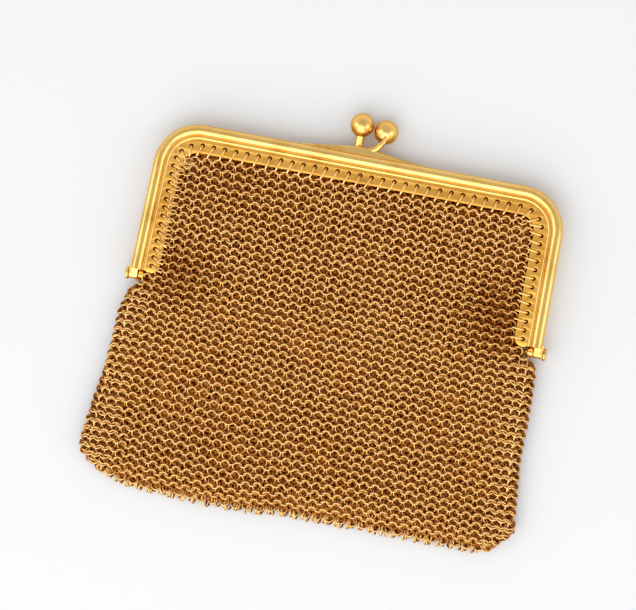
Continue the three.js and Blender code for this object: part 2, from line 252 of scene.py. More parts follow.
def face_outwards(piece):
    work = bmesh.new()
    work.from_mesh(piece.data)
    bmesh.ops.recalc_face_normals(work, faces=work.faces)
    work.to_mesh(piece.data)
    work.free()


def sharpen(piece, angle=35):
    """Smooth shading, but with the real edges kept crisp."""
    piece.data.set_sharp_from_angle(angle=math.radians(angle))


def sweep_frame(name, section, half, corner_steps=28):
    lines = [frame_line(inset, corner_steps) for inset, height in section]
    heights = [height for inset, height in section]
    rings = [
        [in_frame(line[k].x, line[k].y, height, half) for line, height in zip(lines, heights)]
        for k in range(len(lines[0]))
    ]
    piece = loft(name, rings)
    sharpen(piece)
    return piece


def rim_section():
    crown = RIM_WIDTH / 2
    low = PARTING_GAP / 2
    section = [(RIM_EDGE, low), (RIM_WIDTH - RIM_EDGE, low), (RIM_WIDTH, low + RIM_EDGE)]
    steps = 24
    for k in range(steps + 1):
        turn = math.pi * k / steps
        section.append((crown + crown * math.cos(turn), HALF_DEPTH - crown + crown * math.sin(turn)))
    section.append((0, low + RIM_EDGE))
    return section


def bead_section():
    low = FLANGE_HEIGHT
    top = FLANGE_HEIGHT + FLANGE_THICKNESS / 2
    section = [(RIM_WIDTH - BEAD_RADIUS, low), (RIM_WIDTH + 3 * BEAD_RADIUS, low)]
    steps = 10
    for k in range(steps + 1):
        turn = math.pi * k / steps
        section.append((
            RIM_WIDTH + BEAD_RADIUS + 2 * BEAD_RADIUS * math.cos(turn),
            top + 1.4 * BEAD_RADIUS * math.sin(turn),
        ))
    return section


STAIN_SIZE = 6 * MM


def gilt_brass(name, face, wear_and_shade, tarnish, roughness, brush_mm, bump):
    """Gilt brass, polished or drawn: a warm metal with soft stains and fine rubbing marks."""
    material, tree, shader = new_material(name)
    place = add_node(tree, "ShaderNodeNewGeometry").outputs["Position"]
    tone_patch = add_node(
        tree,
        "ShaderNodeTexNoise",
        links={"Vector": place, "Scale": 1 / STAIN_SIZE, "Detail": 5.0, "Roughness": 0.6},
    )
    stain_ramp = add_node(tree, "ShaderNodeValToRGB", links={"Fac": tone_patch.outputs["Fac"]})
    stain_ramp.color_ramp.elements[0].position = 0.3
    stain_ramp.color_ramp.elements[0].color = linear(tarnish)
    stain_ramp.color_ramp.elements[1].position = 0.5
    stain_ramp.color_ramp.elements[1].color = linear(face)
    stain_ramp.color_ramp.elements.new(0.72).color = linear(wear_and_shade)
    tree.links.new(stain_ramp.outputs["Color"], shader.inputs["Base Color"])
    shader.inputs["Metallic"].default_value = 1.0
    shader.inputs["Specular Tint"].default_value = linear(face)
    rub = add_node(
        tree,
        "ShaderNodeTexNoise",
        links={"Vector": place, "Scale": 1 / (brush_mm * MM), "Detail": 3.0},
    )
    gloss = add_node(
        tree,
        "ShaderNodeMapRange",
        links={
            "Value": rub.outputs["Fac"],
            "From Min": 0.3,
            "From Max": 0.7,
            "To Min": roughness * 0.93,
            "To Max": roughness * 1.1,
        },
    )
    tree.links.new(gloss.outputs["Result"], shader.inputs["Roughness"])
    marks = add_node(
        tree,
        "ShaderNodeBump",
        links={"Height": rub.outputs["Fac"], "Strength": bump, "Distance": 0.02 * MM},
    )
    tree.links.new(marks.outputs["Normal"], shader.inputs["Normal"])
    return material


# Polished gilding mirrors the studio in bands. Soft rubbing, 0.9 mm apart, blurs their edges.
polished_gilt = gilt_brass("polished_gilt_brass", "F3C672", "F7D080", "DAA856", 0.26, 0.9, 0.02)


def dress(piece, material, slot, *replaced):
    piece.data.materials.append(material)
    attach(piece, "root")
    if replaced:
        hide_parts(*replaced)
    return piece


HALVES = {"front": 1, "back": -1}
for side_name, half in HALVES.items():
    node = side_name + "_frame"
    rim = sweep_frame(side_name + "_rim", rim_section(), half)
    dress(rim, polished_gilt, "gilt_frame", node)
    bead = sweep_frame(side_name + "_seam_bead", bead_section(), half)
    dress(bead, polished_gilt, "gilt_frame", node)

# Flanges
# A strip of gilt sheet brass soldered inside each rim. It is pierced with sixty-one holes for the
# links of the mesh, wide apart along the top and closer down the legs, and ends in round lobes.

HOLE_RADIUS = 0.38 * MM
HOLE_LINE = RIM_WIDTH + 1.5 * MM
TOP_PITCH = 1.985 * MM
LEG_PITCH = 1.48 * MM
CORNER_HOLES = 2
LAST_HOLE_EDGE = 0.88 * MM
LOBE_OVERHANG = 0.29 * MM
SHEET_EDGE = 0.05 * MM


def hole_place(run, side):
    reach = CORNER_RADIUS - HOLE_LINE
    if run <= corner_x:
        return Vector((side * run, FRAME_DROP - HOLE_LINE))
    if run <= corner_x + reach * corner_turn:
        return corner_place((run - corner_x) / reach, side, HOLE_LINE)
    return leg_place(run - corner_x - reach * corner_turn, side, HOLE_LINE)


def hole_runs():
    """Runs of the holes on one side of the middle one, along the hole line."""
    wide = int(corner_x / TOP_PITCH) + CORNER_HOLES
    last = corner_x + (CORNER_RADIUS - HOLE_LINE) * corner_turn + leg_length - LAST_HOLE_EDGE
    close = int((last - wide * TOP_PITCH) / LEG_PITCH)
    return [TOP_PITCH * k for k in range(1, wide + 1)] + [
        wide * TOP_PITCH + LEG_PITCH * k for k in range(1, close + 1)
    ]


def flange_outline():
    outer = frame_line(RIM_WIDTH / 2, 24)
    inner = frame_line(RIM_WIDTH + FLANGE_WIDTH, 24)
    lobe_radius = FLANGE_WIDTH / 2
    right_lobe = []
    for k in range(13):
        turn = math.pi * k / 12
        place = leg_place(leg_length, 1, RIM_WIDTH + lobe_radius * (1 - math.cos(turn)))
        down = Vector((math.sin(LEG_SPLAY), -math.cos(LEG_SPLAY)))
        right_lobe.append(place + down * (LOBE_OVERHANG - lobe_radius * (1 - math.sin(turn))))
    left_lobe = [Vector((-place.x, place.y)) for place in reversed(right_lobe)]
    return outer[:-1] + right_lobe + inner[2:-2][::-1] + left_lobe


def add_outline(curve, places):
    spline = curve.splines.new("POLY")
    spline.points.add(len(places) - 1)
    for point, place in zip(spline.points, places):
        point.co = (place.x, place.y, 0, 1)
    spline.use_cyclic_u = True


def pierced_flange(name, half):
    curve = bpy.data.curves.new(name, "CURVE")
    curve.dimensions = "2D"
    curve.fill_mode = "BOTH"
    curve.extrude = FLANGE_THICKNESS / 2 - SHEET_EDGE
    curve.bevel_depth = SHEET_EDGE
    curve.bevel_resolution = 1
    curve.offset = -SHEET_EDGE
    add_outline(curve, flange_outline())
    holes = [hole_place(0, 1)] + [hole_place(run, side) for run in hole_runs() for side in (-1, 1)]
    for hole in holes:
        turns = [math.pi * 2 * k / 18 for k in range(18)]
        add_outline(curve, [
            hole + Vector((math.cos(turn), math.sin(turn))) * HOLE_RADIUS for turn in turns
        ])
    shape = bpy.data.objects.new(name, curve)
    bpy.context.scene.collection.objects.link(shape)
    mesh = bpy.data.meshes.new_from_object(shape.evaluated_get(bpy.context.evaluated_depsgraph_get()))
    bpy.data.objects.remove(shape)
    bpy.data.curves.remove(curve)
    turn = Matrix.Identity(4) if half > 0 else Matrix.Rotation(math.pi, 4, "Y")
    mesh.transform(
        Matrix.Translation((FRAME_X, HINGE_Y, PARTING_Z))
        @ turn
        @ Matrix.Translation((0, 0, FLANGE_HEIGHT))
    )
    mesh.name = name
    piece = bpy.data.objects.new(name, mesh)
    bpy.context.scene.collection.objects.link(piece)
    weld(piece, 0.002 * MM)
    level = [abs(polygon.normal.z) > 0.95 for polygon in mesh.polygons]
    mesh.polygons.foreach_set("use_smooth", [not flat for flat in level])
    sharpen(piece, 30)
    return piece


def weld(piece, distance):
    work = bmesh.new()
    work.from_mesh(piece.data)
    bmesh.ops.remove_doubles(work, verts=work.verts, dist=distance)
    bmesh.ops.recalc_face_normals(work, faces=work.faces)
    work.to_mesh(piece.data)
    work.free()


# Rolled and gilded sheet keeps a satin face that spreads each reflection.
satin_gilt = gilt_brass("satin_gilt_sheet", "F0B653", "F6BF5E", "DCA045", 0.36, 0.5, 0.05)
for side_name, half in HALVES.items():
    flange = pierced_flange(side_name + "_flange", half)
    dress(flange, satin_gilt, "gilt_frame", side_name + "_frame")

# Kiss clasp
# Two hollow gilt balls that snap past each other. The left one stands on a straight stem from the
# back half, the right one on a bent horn from the front half. Each half has a low gable for them.

BALL_RADIUS = 2.05 * MM
BALL_SPACING = 4.25 * MM
BALL_HEIGHT = 5.0 * MM
BALL_STEP = 0.4 * MM
BALL_LEAN = 0.2 * MM
CLASP_OFFSET = 0.7 * MM
GABLE_HEIGHT = 1.35 * MM
GABLE_LEFT = 10.3 * MM
GABLE_RIGHT = 8.3 * MM
GABLE_LEDGE = 2 * MM
GABLE_THICKNESS = 1.4 * MM
GABLE_ROUNDING = 0.3 * MM
STEM_RADIUS = 0.75 * MM
HORN_RADIUS = 0.58 * MM

stem_ball = Vector((
    CLASP_OFFSET - BALL_SPACING / 2,
    FRAME_DROP + BALL_HEIGHT + BALL_STEP / 2,
    BALL_LEAN,
))
horn_ball = Vector((
    CLASP_OFFSET + BALL_SPACING / 2,
    FRAME_DROP + BALL_HEIGHT - BALL_STEP / 2,
    -BALL_LEAN,
))


def ball(name, centre):
    bpy.ops.mesh.primitive_uv_sphere_add(segments=48, ring_count=32, radius=BALL_RADIUS)
    piece = bpy.context.object
    piece.name = name
    piece.data.name = name
    piece.data.transform(Matrix.Translation(in_frame(*centre, 1)))
    piece.data.polygons.foreach_set("use_smooth", [True] * len(piece.data.polygons))
    return piece


def tube(name, path, radii, sides=20):
    rings = []
    for k, centre in enumerate(path):
        along = (path[min(k + 1, len(path) - 1)] - path[max(k - 1, 0)]).normalized()
        across = Vector((0, 0, 1)).cross(along).normalized()
        up = along.cross(across)
        turns = [2 * math.pi * s / sides for s in range(sides)]
        rings.append([
            in_frame(*(centre + (across * math.cos(t) + up * math.sin(t)) * radii[k]), 1) for t in turns
        ])
    piece = loft(name, rings)
    sharpen(piece, 50)
    return piece


def curve_through(points, steps):
    """Catmull-Rom curve through a few points, and where each step lies between them."""
    count = len(points) - 1
    places = []
    for step in range(steps + 1):
        share = step / steps * count
        row = min(int(share), count - 1)
        t = share - row
        p0, p1, p2, p3 = [points[min(max(row + n, 0), count)] for n in (-1, 0, 1, 2)]
        places.append(0.5 * (
            2 * p1
            + (p2 - p0) * t
            + (2 * p0 - 5 * p1 + 4 * p2 - p3) * t * t
            + (3 * p1 - 3 * p2 + p3 - p0) * t ** 3
        ))
    return places


def gable(name, half):
    """A thin plate with a low ridge, its upper edge rounded over."""
    outline = [
        (-CLASP_OFFSET - GABLE_LEFT, FRAME_DROP + 0.1 * GABLE_HEIGHT),
        (-2 * CLASP_OFFSET, FRAME_DROP + GABLE_HEIGHT),
        (0, FRAME_DROP + GABLE_HEIGHT),
        (CLASP_OFFSET + GABLE_RIGHT - GABLE_LEDGE, FRAME_DROP + 0.1 * GABLE_HEIGHT),
    ]
    low = PARTING_GAP / 2
    top = low + GABLE_THICKNESS
    rings = []
    steps = 40
    for k in range(steps + 1):
        x = outline[0][0] + (outline[-1][0] - outline[0][0]) * k / steps
        edge = float(np.interp(x, [p[0] for p in outline], [p[1] for p in outline]))
        round_over = min(GABLE_ROUNDING, edge - FRAME_DROP)
        ring = [(x, FRAME_DROP - RIM_WIDTH / 2, low), (x, FRAME_DROP - RIM_WIDTH / 2, top)]
        for s in range(5):
            turn = math.pi / 2 * s / 4
            ring.append((
                x,
                edge - round_over * (1 - math.sin(turn)),
                top - round_over * (1 - math.cos(turn)),
            ))
        ring.append((x, edge, low))
        rings.append([in_frame(*point, half) for point in ring])
    piece = loft(name, rings)
    sharpen(piece, 40)
    return piece


# across, up, out and thickness: shares of the balls' spacing from the horn's ball, of its height over
# the rim, of the half depth and of the horn's radius
horn_bends = [
    (-0.71, 0.135, 0.37, 1.2),
    (-0.43, 0.225, 0.42, 1.0),
    (-0.23, 0.333, 0.47, 1.0),
    (-0.11, 0.458, 0.55, 0.93),
    (0.0, 0.615, 0.64, 0.7),
    (0.04, 0.78, 0.67, 0.54),
]
HORN_STEPS = 30
horn_path = curve_through(
    [
        Vector((
            horn_ball.x + across * BALL_SPACING,
            FRAME_DROP + up * (horn_ball.y - FRAME_DROP),
            out * HALF_DEPTH,
        ))
        for across, up, out, _ in horn_bends
    ],
    HORN_STEPS,
)
horn_radii = [
    HORN_RADIUS * float(np.interp(share, range(len(horn_bends)), [bend[3] for bend in horn_bends]))
    for share in np.linspace(0, len(horn_bends) - 1, HORN_STEPS + 1)
]
dress(tube("clasp_horn", horn_path, horn_radii), polished_gilt, "gilt_frame", "front_frame")
stem_foot = Vector((
    stem_ball.x,
    FRAME_DROP + GABLE_HEIGHT / 2,
    -(PARTING_GAP + GABLE_THICKNESS) / 2,
))
stem_path = [stem_foot, stem_foot.lerp(stem_ball, 0.5), stem_ball]
dress(tube("clasp_stem", stem_path, [STEM_RADIUS] * 3, 28), polished_gilt, "gilt_frame", "back_frame")
dress(ball("clasp_ball_left", stem_ball), polished_gilt, "gilt_frame", "back_frame")
dress(ball("clasp_ball_right", horn_ball), polished_gilt, "gilt_frame", "front_frame")
for side_name, half in HALVES.items():
    dress(gable(side_name + "_gable", half), polished_gilt, "gilt_frame", side_name + "_frame")

# Hinges
# A knuckle of each half turns on a headed pin that lies along X. The front half's knuckles are the
# long outer ones. The pin's head is a flat disc outside, and its inner end is peened over.

KNUCKLE_RADIUS = 0.85 * MM
KNUCKLE_BORE = 0.5 * MM
KNUCKLE_OVERHANG = 0.25 * MM
OUTER_KNUCKLE = 1.5 * MM
INNER_KNUCKLE = 0.95 * MM
KNUCKLE_GAP = 0.15 * MM
PIN_RADIUS = 0.32 * MM
PIN_HEAD_RADIUS = 1.1 * MM
PIN_HEAD = 0.5 * MM
PEENED_RADIUS = 0.62 * MM
PEENED = 0.25 * MM
LUG_HEIGHT = 1.4 * MM
LUG_OVERLAP = 0.3 * MM
KNUCKLE_EDGE = 0.07 * MM
BARREL_START = math.radians(95)
BARREL_END = math.radians(368)

barrel_end = FRAME_WIDTH / 2 + KNUCKLE_OVERHANG
outer_start = barrel_end - OUTER_KNUCKLE
inner_start = outer_start - KNUCKLE_GAP - INNER_KNUCKLE


def knuckle(name, start, length, side, half):
    """A barrel with a bore, and a lug that reaches up to the end of its leg."""
    barrel_steps = 40
    lug_reach = LEG_SHORT + LUG_OVERLAP
    outline = [Vector((lug_reach, PARTING_GAP / 2)), Vector((lug_reach, LUG_HEIGHT))]
    for k in range(barrel_steps + 1):
        turn = BARREL_START + (BARREL_END - BARREL_START) * k / barrel_steps
        outline.append(Vector((math.cos(turn), math.sin(turn))) * KNUCKLE_RADIUS)
    bore = [point.normalized() * KNUCKLE_BORE for point in outline]
    edge = KNUCKLE_EDGE
    # rings across the barrel: bore, face, rounded edge, outside, rounded edge, face, bore
    rows = [(0, 0, 0), (0, 1, 1), (edge, 1, 0), (length - edge, 1, 0), (length, 1, 1), (length, 0, 0)]
    rings = []
    for along, whole, drawn_in in rows:
        ring = []
        for inner, outer in zip(bore, outline):
            point = outer * (1 - drawn_in * edge / max(outer.length, edge)) if whole else inner
            x = side * (start + along) * half
            ring.append(in_frame(x, point.x, point.y, half))
        rings.append(ring)
    count = len(outline)
    faces = []
    for row in range(len(rings)):
        for k in range(count):
            a = row * count + k
            b = row * count + (k + 1) % count
            c = (row + 1) % len(rings) * count
            faces.append((a, b, c + (k + 1) % count, c + k))
    piece = mesh_object(name, [p for ring in rings for p in ring], faces)
    face_outwards(piece)
    sharpen(piece, 40)
    return piece


def hinge_pin(name, side):
    head = barrel_end + KNUCKLE_GAP
    peened = inner_start - KNUCKLE_GAP
    profile = [
        (0.0, peened - PEENED),
        (PEENED_RADIUS * 0.6, peened - PEENED),
        (PEENED_RADIUS * 0.92, peened - PEENED * 0.7),
        (PEENED_RADIUS, peened - PEENED * 0.3),
        (PEENED_RADIUS * 0.95, peened),
        (PIN_RADIUS, peened),
        (PIN_RADIUS, head),
        (PIN_HEAD_RADIUS * 0.96, head),
        (PIN_HEAD_RADIUS, head + PIN_HEAD * 0.15),
        (PIN_HEAD_RADIUS, head + PIN_HEAD * 0.6),
        (PIN_HEAD_RADIUS * 0.93, head + PIN_HEAD * 0.85),
        (PIN_HEAD_RADIUS * 0.8, head + PIN_HEAD),
        (0.0, head + PIN_HEAD),
    ]
    sides = 36
    rings = [
        [
            in_frame(
                side * along,
                max(radius, 0.001 * MM) * math.cos(2 * math.pi * s / sides),
                max(radius, 0.001 * MM) * math.sin(2 * math.pi * s / sides),
                1,
            )
            for s in range(sides)
        ]
        for radius, along in profile
    ]
    piece = loft(name, rings)
    sharpen(piece, 40)
    return piece


for side_name, side in {"left": -1, "right": 1}.items():
    outer = knuckle(side_name + "_outer_knuckle", outer_start, OUTER_KNUCKLE, side, 1)
    dress(outer, polished_gilt, "gilt_frame", "front_frame")
    inner = knuckle(side_name + "_inner_knuckle", inner_start, INNER_KNUCKLE, side, -1)
    dress(inner, polished_gilt, "gilt_frame", "back_frame")
    pin = hinge_pin(side_name + "_pin", side)
    dress(pin, polished_gilt, "hinge_pin", side_name + "_hinge_pin")

# Bag
# Chain mesh worked in the round: each gilt wire ring is linked through two rings above it and two
# below. One row of rings lifts its upper side and the next its lower side, so the first shows as
# scales. Thirty-two columns hang from each flange, and more join them at both sides of the hinges.

# The rings, and how those of odd rows lie
RING_RADIUS = 0.82 * MM
WIRE_RADIUS = 0.15 * MM
RING_DEPTH = 0.5 * MM
ODD_DEEPER = 0.05 * MM
ODD_UP = 0.04 * MM
LIFT_EVEN = math.radians(22)
LIFT_ODD = math.radians(41)
CLEARANCE = 0.02 * MM
RING_ROOM = RING_RADIUS + WIRE_RADIUS + CLEARANCE

# Rows and columns. A row counts both an even and an odd line of rings, and columns are counted from
# the middle to one side. Each level of UNDER_LOBE lets half a column more in below a flange's lobe.
FLANGE_INSET = RIM_WIDTH + FLANGE_WIDTH
ROW_PITCH = 1.4375 * MM
FIRST_ROW = FRAME_DROP - FLANGE_INSET - 1.4 * MM
ROWS = 38
ROWS_TO_HINGE = 16
FACE_COLUMNS = 16
LAST_COLUMN = FACE_COLUMNS - 0.25
UNDER_LOBE = [0.6 * MM, -0.1 * MM, -0.9 * MM]
SIDE_PITCH = 1.6 * MM
FAN = 0.03

# On the left the mesh rides up on the flange's edge, by half a column more, drawn in to lie there
LEFT_OVERLAP = 0.75 * MM
LEFT_MORE = 0.5
LEFT_DRAWN_IN = 0.65
RIDE_HEIGHT = 0.28 * MM
RIDE_UP = math.radians(20)

# How loosely the mesh lies
RING_SHIFT = 0.035 * MM
RING_TILT = 0.08
DRIFT_ACROSS = 0.14 * MM
DRIFT_ALONG = 0.2 * MM

random_source = np.random.default_rng(7)
bag_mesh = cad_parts["mesh_bag"].data
bag_tree = BVHTree.FromPolygons(
    [v.co.copy() for v in bag_mesh.vertices], [tuple(p.vertices) for p in bag_mesh.polygons]
)
bag_low, bag_high = [Vector(corner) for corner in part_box("mesh_bag")]
FAR = 0.2
SIDE_LEVEL = PARTING_Z - 0.3 * HALF_DEPTH
EDGE_ROUND = 2.4 * MM


def seen_from(origin, towards):
    """Where a straight look from outside first meets the bag."""
    return bag_tree.ray_cast(origin, towards.normalized())[0]


def face_height(x, y, face):
    """Height of the bag's front (face 1) or back (face -1) over a place, in the row's own axes."""
    hit = seen_from(Vector((x, y, face * FAR)), Vector((0, 0, -face)))
    return hit.z if hit else None


def side_edge(y, side):
    """How far across the bag reaches at one height."""
    return seen_from(Vector((side * FAR, y, SIDE_LEVEL)), Vector((-side, 0, 0))).x


def half_section(y, side):
    """The bag's outline at one height: from the middle of the front, round a side, to the back."""
    turn_centre = side_edge(y, side) - side * EDGE_ROUND
    across = np.linspace(FRAME_X, turn_centre, 20)
    points = [Vector((x, y, face_height(x, y, 1))) for x in across]
    low = face_height(turn_centre, y, -1)
    centre = Vector((turn_centre, y, (points[-1].z + low) / 2))
    for turn in np.linspace(math.pi / 2, -math.pi / 2, 14)[1:-1]:
        out = Vector((side * math.cos(turn), 0, math.sin(turn)))
        points.append(seen_from(centre + out * FAR, -out))
    points += [Vector((x, y, face_height(x, y, -1))) for x in across[::-1]]
    return points


def along_section(points, distance):
    """Place at a distance along a section, and the section's whole length if none is given."""
    steps = [0.0]
    for a, b in zip(points, points[1:]):
        steps.append(steps[-1] + (b - a).length)
    if distance is None:
        return steps[-1]
    return Vector([float(np.interp(distance, steps, [p[k] for p in points])) for k in range(3)])


def hem_edge(x):
    """Height up the bag of its hem at a place across, as its outline shows from above."""
    levels = [PARTING_Z - share * HALF_DEPTH for share in np.linspace(0.32, 0.92, 9)]
    hits = [seen_from(Vector((x, -FAR, level)), Vector((0, 1, 0))) for level in levels]
    return min(hit.y for hit in hits if hit)


HEM_ENDS = 0.6 * MM
hem_across = np.linspace(bag_low.x + HEM_ENDS, bag_high.x - HEM_ENDS, 240)
hem_edges = [hem_edge(x) for x in hem_across]


def hem_level(x, margin):
    """The hem's height at a place across, kept a margin away from both sides."""
    x = min(max(x, bag_low.x + margin), bag_high.x - margin)
    return float(np.interp(x, hem_across, hem_edges))


def smooth_step(value, low, high):
    t = min(max((value - low) / (high - low), 0.0), 1.0)
    return t * t * (3 - 2 * t)


flat_hem = HINGE_Y - 35.2 * MM
last_row = HINGE_Y + FIRST_ROW - ROWS * ROW_PITCH
HEM_CORNER = 7 * MM


def hem_wave(x, y):
    """How far the mesh hangs lower or higher than a straight hem: all of it at the last row."""
    down = (HINGE_Y - y) / (HINGE_Y - last_row)
    return (hem_level(x, HEM_CORNER) - flat_hem) * smooth_step(down, 0.3, 1.0)


def face_pitch(y, side):
    """Column pitch, fitted between the flanges, and a little wider to the hem."""
    up = max(y - HINGE_Y, 0)
    drop = max(HINGE_Y - y, 0) / (HINGE_Y - flat_hem)
    room = FRAME_WIDTH / 2 - FLANGE_INSET - RING_ROOM - up * math.tan(LEG_SPLAY)
    if side < 0:
        room += LEFT_OVERLAP
    return room / (FACE_COLUMNS - 0.5) * (1 + FAN * drop)


def drift(u, v, seed):
    """Slow drift of the mesh where it has been pulled and bunched, from -1 to 1. Places in mm."""
    return (
        math.sin(0.31 * u + 0.12 * v + seed)
        + 0.8 * math.sin(0.47 * v - 0.19 * u + 2.1 * seed)
        + 0.6 * math.sin(0.9 * u + 0.6 * v + 3.7 * seed)
    ) / 2.4


def ring_at(place, normal, odd, outer_side_up=0.0):
    """A ring just under a place on the bag's surface: its centre and its three axes."""
    along = (Vector((0, 1, 0)) - normal * normal.y).normalized()
    across = along.cross(normal).normalized()
    wander = random_source.normal(0, 1, 5)
    depth = RING_DEPTH + (ODD_DEEPER if odd else 0)
    centre = place - normal * depth + (across * wander[0] + along * wander[1]) * RING_SHIFT
    if odd:
        centre += along * ODD_UP
    lift = (-LIFT_ODD if odd else LIFT_EVEN) + wander[2] * RING_TILT
    sway = wander[3] * RING_TILT + outer_side_up
    up = along * math.cos(lift) + normal * math.sin(lift)
    ring_across = (across * math.cos(sway) + normal * math.sin(sway)).normalized()
    axis = ring_across.cross(up).normalized()
    lowest = RING_RADIUS * math.sqrt(max(1 - axis.z ** 2, 0)) + WIRE_RADIUS + CLEARANCE
    centre.z = max(centre.z, lowest)
    return centre, ring_across, axis.cross(ring_across), axis


def in_flange_corner(x, y):
    """A place drawn in to keep its ring clear of the flange's rounded inner corner."""
    side = 1 if x > FRAME_X else -1
    corner = Vector((FRAME_X + side * corner_x, HINGE_Y + corner_y))
    away = Vector((x, y)) - corner
    room = CORNER_RADIUS - FLANGE_INSET - RING_ROOM
    if side * away.x > 0 and away.y > 0 and away.length > room:
        return corner + away.normalized() * room
    return Vector((x, y))


FLAT_HALF = 27.5 * MM
FLAT_TOP = FIRST_ROW - 1.2 * MM


def flat_height(x, y, face):
    """Height of the mesh between the flanges, read a little inside, where it lies flat."""
    x = min(max(x, FRAME_X - FLAT_HALF), FRAME_X + FLAT_HALF)
    return face_height(x, min(y, HINGE_Y + FLAT_TOP), face)


def open_row(y, odd):
    """Rings between the flanges. The outermost ones on the left lie on the flange's edge."""
    row = []
    levels_passed = sum(y - HINGE_Y < level for level in UNDER_LOBE)
    for side in (-1, 1):
        pitch = face_pitch(y, side)
        most = LAST_COLUMN + 0.5 * levels_passed
        outermost = most
        if side < 0:
            most += LEFT_MORE
            outermost = most - LEFT_DRAWN_IN
        for face in (1, -1):
            columns = 0.0 if odd else 0.5
            if odd and side < 0:
                columns = 1.0
            while columns < most:
                x = FRAME_X + side * min(columns, outermost) * pitch
                if columns < FACE_COLUMNS - 2:
                    x += DRIFT_ACROSS * drift(x / MM, y / MM, 0.4)
                spot = in_flange_corner(x, y + DRIFT_ALONG * drift(y / MM, x / MM, 1.9))
                place = Vector((spot.x, spot.y, flat_height(x, y, face)))
                outer_side_up = 0.0
                if side < 0 and columns > FACE_COLUMNS - 1:
                    place.z += face * RIDE_HEIGHT
                    outer_side_up = -RIDE_UP
                row.append((face, ring_at(place, Vector((0, 0, face)), odd, outer_side_up)))
                columns += 1
    return row


def closed_row(y, odd):
    """Rings round the pouch below the hinges. The right side has the rings at both middles."""
    row = []
    for side in (-1, 1):
        section = half_section(y, side)
        length = along_section(section, None)
        face_run = FACE_COLUMNS * face_pitch(y, side)
        extra = max(round((length - 2 * face_run) / SIDE_PITCH), 1)
        count = 2 * FACE_COLUMNS + extra
        columns = [0, FACE_COLUMNS, count - FACE_COLUMNS, count]
        runs = [0, face_run, length - face_run, length]
        for number in range(count + odd):
            if odd and side < 0 and number in (0, count):
                continue
            place = number if odd else number + 0.5
            guess = along_section(section, float(np.interp(place, columns, runs)))
            u, v = guess.x / MM, guess.y / MM
            guess.x += DRIFT_ACROSS * drift(u, v, 0.4)
            guess.y += DRIFT_ALONG * drift(v, u, 1.9) + hem_wave(guess.x, y)
            nearest, normal = bag_tree.find_nearest(guess)[:2]
            face = 1 if place < count / 2 else -1
            row.append((face, ring_at(nearest, normal, odd)))
    return row


def bag_rings():
    """All rings of the front and of the back, row by row from the mouth to the hem."""
    rings = []
    for step in range(-1, 2 * ROWS + 2):
        y = HINGE_Y + FIRST_ROW - step / 2 * ROW_PITCH
        odd = step % 2 == 1
        rings += open_row(y, odd) if step < 2 * ROWS_TO_HINGE else closed_row(y, odd)
    return [ring for face, ring in rings if face > 0], [ring for face, ring in rings if face < 0]


def ring_mesh(name, rings, face, turns, sides):
    """All rings of a piece as one joined mesh. Each point keeps how far it stands out."""
    angle = np.linspace(0, 2 * np.pi, turns, endpoint=False)
    round_wire = np.linspace(0, 2 * np.pi, sides, endpoint=False)
    along, around = np.meshgrid(angle, round_wire, indexing="ij")
    reach = RING_RADIUS + WIRE_RADIUS * np.cos(around)
    local = np.stack(
        [reach * np.cos(along), reach * np.sin(along), WIRE_RADIUS * np.sin(around)], axis=-1
    ).reshape(-1, 3)
    centres = np.array([list(centre) for centre, across, up, axis in rings])
    axes = np.array([[list(across), list(up), list(axis)] for centre, across, up, axis in rings])
    vertices = np.einsum("vk,rkx->rvx", local, axes) + centres[:, None, :]
    a = np.arange(turns * sides).reshape(turns, sides)
    b = np.roll(a, -1, axis=0)
    quads = np.stack([a, b, np.roll(b, -1, axis=1), np.roll(a, -1, axis=1)], axis=-1).reshape(-1, 4)
    faces = (quads[None] + (np.arange(len(rings)) * turns * sides)[:, None, None]).reshape(-1, 4)
    mesh = bpy.data.meshes.new(name)
    mesh.vertices.add(len(rings) * turns * sides)
    mesh.vertices.foreach_set("co", vertices.reshape(-1))
    mesh.loops.add(faces.size)
    mesh.loops.foreach_set("vertex_index", faces.reshape(-1))
    mesh.polygons.add(len(faces))
    mesh.polygons.foreach_set("loop_start", np.arange(0, faces.size, 4))
    mesh.polygons.foreach_set("use_smooth", np.ones(len(faces), dtype=bool))
    mesh.update(calc_edges=True)
    # How far each point stands out, which the wire's colour turns into painted shade below and a
    # painted highlight on top.
    stand = (vertices[:, :, 2] - centres[:, None, 2]) * face / RING_DEPTH
    raised = mesh.attributes.new("raised", "FLOAT", "POINT")
    raised.data.foreach_set("value", stand.reshape(-1).astype(np.float32))
    piece = bpy.data.objects.new(name, mesh)
    bpy.context.scene.collection.objects.link(piece)
    return piece


# Patches where the wire is painted darker: painted shade beside the hinges, where the mesh bunches, and
# a darker patch in the upper left corner. x and y from the middle of the hinge line, reach, and how
# much is lost
DARKENED_PATCHES = [
    (28 * MM, 5 * MM, 12 * MM, 1.2),
    (-27 * MM, 1 * MM, 9 * MM, 1.0),
    (-20 * MM, 20 * MM, 12 * MM, 0.5),
]


